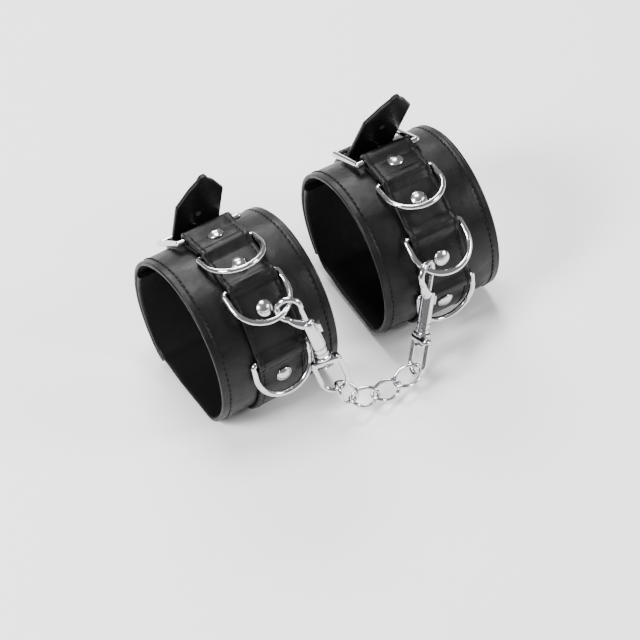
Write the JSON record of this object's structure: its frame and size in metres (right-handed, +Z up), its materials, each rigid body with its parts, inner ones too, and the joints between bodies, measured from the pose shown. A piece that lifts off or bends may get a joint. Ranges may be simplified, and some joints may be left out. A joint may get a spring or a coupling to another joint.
{
  "type": "wrist cuff pair",
  "caption": "Pair of buckled leather wrist cuffs with D-rings, joined by a short curb chain with a swivel bolt snap at each end.",
  "frame": {"origin": "on the table, under the middle of the left cuff's wrist opening", "axes": "+X along the cuffs' own axes, from the left cuff to the right one; -Y the front, where the rings are; +Z up"},
  "size_m": [0.1556, 0.1104, 0.1058],
  "materials": {
    "leather": "smooth semi-gloss black",
    "lining": "matt black",
    "nickel": "polished nickel plate",
    "spring": "bright spring wire"
  },
  "bodies": {
    "left_cuff": {"left_lining": "lining", "left_shell": "leather", "left_strap": "leather", "left_rivets": "nickel", "left_rivet_backs": "nickel"},
    "left_ring_top": {"left_ring_top": "nickel"},
    "left_ring_middle": {"left_ring_middle": "nickel"},
    "left_ring_lower": {"left_ring_lower": "nickel"},
    "left_buckle": {"left_buckle_frame": "nickel"},
    "left_prong": {"left_buckle_prong": "nickel"},
    "left_snap": {"left_snap_body": "nickel", "left_snap_spring": "spring"},
    "left_bolt": {"left_snap_bolt": "nickel"},
    "left_eye": {"left_swivel_eye": "nickel"},
    "link_1": {"chain_link_1": "nickel"},
    "link_2": {"chain_link_2": "nickel"},
    "link_3": {"chain_link_3": "nickel"},
    "link_4": {"chain_link_4": "nickel"},
    "right_eye": {"right_swivel_eye": "nickel"},
    "right_snap": {"right_snap_body": "nickel", "right_snap_spring": "spring"},
    "right_bolt": {"right_snap_bolt": "nickel"},
    "right_ring_middle": {"right_ring_middle": "nickel"},
    "right_cuff": {"right_lining": "lining", "right_shell": "leather", "right_strap": "leather", "right_rivets": "nickel", "right_rivet_backs": "nickel"},
    "right_ring_top": {"right_ring_top": "nickel"},
    "right_ring_lower": {"right_ring_lower": "nickel"},
    "right_buckle": {"right_buckle_frame": "nickel"},
    "right_prong": {"right_buckle_prong": "nickel"}
  },
  "joints": [
    {"name": "left_top_ring_hinge", "type": "hinge", "parent": "left_cuff", "child": "left_ring_top", "pos_m": [0, 0.00357, 0.07734], "axis": [-1, 0, 0], "range_deg": [-8, 80]},
    {"name": "left_lower_ring_hinge", "type": "hinge", "parent": "left_cuff", "child": "left_ring_lower", "pos_m": [0, -0.03968, 0.04472], "axis": [-1, 0, 0], "range_deg": [0, 2]},
    {"name": "left_buckle_hinge", "type": "hinge", "parent": "left_cuff", "child": "left_buckle", "pos_m": [0, 0.01917, 0.0755], "axis": [1, 0, 0], "range_deg": [0, 1.5]},
    {"name": "left_prong_hinge", "type": "hinge", "parent": "left_buckle", "child": "left_prong", "pos_m": [0, 0.01917, 0.0755], "axis": [1, 0, 0], "range_deg": [0, 1.5]},
    {"name": "left_middle_ring_hinge", "type": "hinge", "parent": "left_cuff", "child": "left_ring_middle", "pos_m": [0, -0.01796, 0.07314], "axis": [-1, 0, 0], "range_deg": [-0.3, 4]},
    {"name": "left_claw_hinge", "type": "hinge", "parent": "left_ring_middle", "child": "left_snap", "pos_m": [0.00847, -0.03538, 0.06668], "axis": [0.807, 0.5537, 0.2055], "range_deg": [-3, 0.5]},
    {"name": "left_bolt_slide", "type": "slide", "parent": "left_snap", "child": "left_bolt", "axis": [0.1505, -0.3413, -0.9278], "range_m": [0, 0.008], "stiffness_N_per_m": 300, "springref_m": -0.006, "deforming": ["left_snap_spring"]},
    {"name": "left_eye_swivel", "type": "hinge", "parent": "left_snap", "child": "left_eye", "pos_m": [0.01258, -0.03653, 0.07003], "axis": [-0.1505, 0.3413, 0.9278], "range_deg": [-4, 6]},
    {"name": "link_1_hinge", "type": "hinge", "parent": "left_eye", "child": "link_1", "pos_m": [0.01972, -0.05409, 0.02272], "axis": [0.2364, 0.9692, -0.0687], "range_deg": [-3, 4]},
    {"name": "link_2_hinge", "type": "hinge", "parent": "link_1", "child": "link_2", "pos_m": [0.02737, -0.0568, 0.01083], "axis": [0.8136, -0.1588, 0.5593], "range_deg": [-4, 3]},
    {"name": "link_3_hinge", "type": "hinge", "parent": "link_2", "child": "link_3", "pos_m": [0.03885, -0.0579, 0.00692], "axis": [0.3829, 0.0803, 0.9203], "range_deg": [-4, 3]},
    {"name": "link_4_hinge", "type": "hinge", "parent": "link_3", "child": "link_4", "pos_m": [0.05094, -0.05838, 0.0069], "axis": [0.0401, 0.1202, 0.9919], "range_deg": [-4, 3]},
    {"name": "right_eye_hinge", "type": "hinge", "parent": "link_4", "child": "right_eye", "pos_m": [0.06218, -0.05805, 0.01137], "axis": [-0.3356, 0.1143, 0.935], "range_deg": [-4, 1.5]},
    {"name": "right_eye_swivel", "type": "hinge", "parent": "right_eye", "child": "right_snap", "pos_m": [0.08333, -0.03989, 0.05263], "axis": [0.45, 0.3528, 0.8204], "range_deg": [-4, 3]},
    {"name": "right_bolt_slide", "type": "slide", "parent": "right_snap", "child": "right_bolt", "axis": [-0.45, -0.3528, -0.8204], "range_m": [0, 0.008], "stiffness_N_per_m": 300, "springref_m": -0.006, "deforming": ["right_snap_spring"]},
    {"name": "right_claw_hinge", "type": "hinge", "parent": "right_snap", "child": "right_ring_middle", "pos_m": [0.07867, -0.04246, 0.05373], "axis": [0.6059, -0.6788, -0.4148], "range_deg": [0, 3]},
    {"name": "right_middle_ring_hinge", "type": "hinge", "parent": "right_ring_middle", "child": "right_cuff", "pos_m": [0.09035, -0.02937, 0.0624], "axis": [0.999, -0.0454, 0], "range_deg": [0, 4]},
    {"name": "right_top_ring_hinge", "type": "hinge", "parent": "right_cuff", "child": "right_ring_top", "pos_m": [0.09146, -0.00503, 0.07691], "axis": [-0.999, 0.0454, 0], "range_deg": [-8, 80]},
    {"name": "right_lower_ring_hinge", "type": "hinge", "parent": "right_cuff", "child": "right_ring_lower", "pos_m": [0.08992, -0.039, 0.03332], "axis": [-0.999, 0.0454, 0], "range_deg": [0, 30]},
    {"name": "right_buckle_hinge", "type": "hinge", "parent": "right_cuff", "child": "right_buckle", "pos_m": [0.09216, 0.01045, 0.07923], "axis": [0.999, -0.0454, 0], "range_deg": [0, 1.5]},
    {"name": "right_prong_hinge", "type": "hinge", "parent": "right_buckle", "child": "right_prong", "pos_m": [0.09216, 0.01045, 0.07923], "axis": [0.999, -0.0454, 0], "range_deg": [0, 1.5]}
  ]
}
